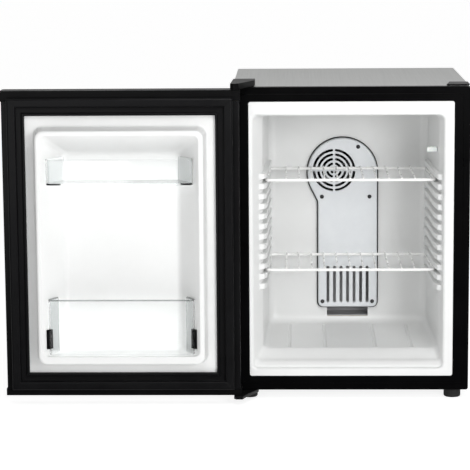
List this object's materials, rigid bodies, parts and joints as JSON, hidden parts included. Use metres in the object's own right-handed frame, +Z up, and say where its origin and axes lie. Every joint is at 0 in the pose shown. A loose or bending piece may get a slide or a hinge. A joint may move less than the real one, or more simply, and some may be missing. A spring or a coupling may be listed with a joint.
{
  "type": "mini fridge",
  "caption": "Thermoelectric mini fridge with a black framed swing door, grey cabinet, white liner, sliding wire shelves, rear fan cover and clear door racks.",
  "frame": {"origin": "centre of the bottom of the box round the fridge with its door swung fully open; the door hinge stands at x = 0", "axes": "+X to the right seen from the front, from the open door towards the cabinet, +Y to the back, +Z up"},
  "size_m": [0.786, 0.461, 0.5465],
  "materials": {
    "grey_steel": "grey hairline coated steel, satin",
    "black_paint": "black semi-gloss paint",
    "frame_plastic": "black moulded, semi-gloss",
    "black_plastic": "black moulded, satin",
    "gasket_rubber": "dark grey soft magnetic seal",
    "foot_rubber": "black matte",
    "white_plastic": "white thermoformed, soft gloss",
    "white_wire": "white dipped wire",
    "cover_plastic": "pale grey moulded, fine grain",
    "screw_black": "black oxide",
    "clear_plastic": "clear moulded",
    "lamp_plastic": "milky diffuser",
    "bush_plastic": "natural nylon",
    "zinc_steel": "zinc plated",
    "aluminium": "extruded, bare",
    "ceramic": "white ceramic faces",
    "duct_plastic": "grey moulded, hidden",
    "seal_foam": "black closed-cell foam strip",
    "foam": "rigid polyurethane foam"
  },
  "bodies": {
    "cabinet": {"base_panel": "zinc_steel", "cabinet_shell": "grey_steel", "cold_heat_sink": "aluminium", "fan_cover": "cover_plastic", "cover_seal": "seal_foam", "fan_cover_screw_1": "screw_black", "fan_cover_screw_2": "screw_black", "fan_cover_screw_3": "screw_black", "fan_cover_screw_4": "screw_black", "fan_cover_screw_5": "screw_black", "front_foot_left": "foot_rubber", "front_foot_right": "foot_rubber", "front_frame": "frame_plastic", "hinge_hole_cap": "black_plastic", "hot_heat_sink": "aluminium", "inner_fan_frame": "black_plastic", "inner_liner": "white_plastic", "duct_lining": "duct_plastic", "insulation_foam": "foam", "lower_hinge_bracket": "black_paint", "lower_hinge_pin": "zinc_steel", "mains_inlet": "black_plastic", "outer_fan_frame": "black_plastic", "power_unit": "black_plastic", "rear_foot_left": "foot_rubber", "rear_foot_right": "foot_rubber", "rear_panel": "black_paint", "thermoelectric_module": "ceramic", "upper_hinge_bracket": "zinc_steel", "upper_hinge_cover": "black_plastic", "upper_hinge_pin": "zinc_steel", "upper_hinge_screw_1": "zinc_steel", "upper_hinge_screw_2": "zinc_steel", "wall_lamp": "lamp_plastic"},
    "door": {"door_skin": "black_paint", "door_top_cap": "black_plastic", "door_bottom_cap": "black_plastic", "door_foam": "foam", "door_liner": "white_plastic", "door_gasket": "gasket_rubber", "door_upper_bush": "bush_plastic", "door_lower_bush": "bush_plastic", "bottle_guard": "clear_plastic", "guard_clip_left": "black_plastic", "guard_clip_right": "black_plastic", "door_upper_rack": "clear_plastic"},
    "upper_shelf": {"upper_shelf": "white_wire"},
    "lower_shelf": {"lower_shelf": "white_wire"},
    "inner_fan": {"inner_fan_rotor": "black_plastic"},
    "outer_fan": {"outer_fan_rotor": "black_plastic"}
  },
  "joints": [
    {"name": "door_hinge", "type": "hinge", "parent": "cabinet", "child": "door", "pos_m": [0, -0.1815, 0.276], "axis": [0, 0, 1], "range_deg": [0, 180]},
    {"name": "upper_shelf_slide", "type": "slide", "parent": "cabinet", "child": "upper_shelf", "axis": [0, 1, 0], "range_m": [-0.1, 0]},
    {"name": "lower_shelf_slide", "type": "slide", "parent": "cabinet", "child": "lower_shelf", "axis": [0, 1, 0], "range_m": [-0.1, 0]},
    {"name": "inner_fan_spin", "type": "hinge", "parent": "cabinet", "child": "inner_fan", "pos_m": [0.1685, 0.0955, 0.366], "axis": [0, 1, 0], "continuous": true},
    {"name": "outer_fan_spin", "type": "hinge", "parent": "cabinet", "child": "outer_fan", "pos_m": [0.193, 0.1905, 0.252], "axis": [0, 1, 0], "continuous": true}
  ]
}
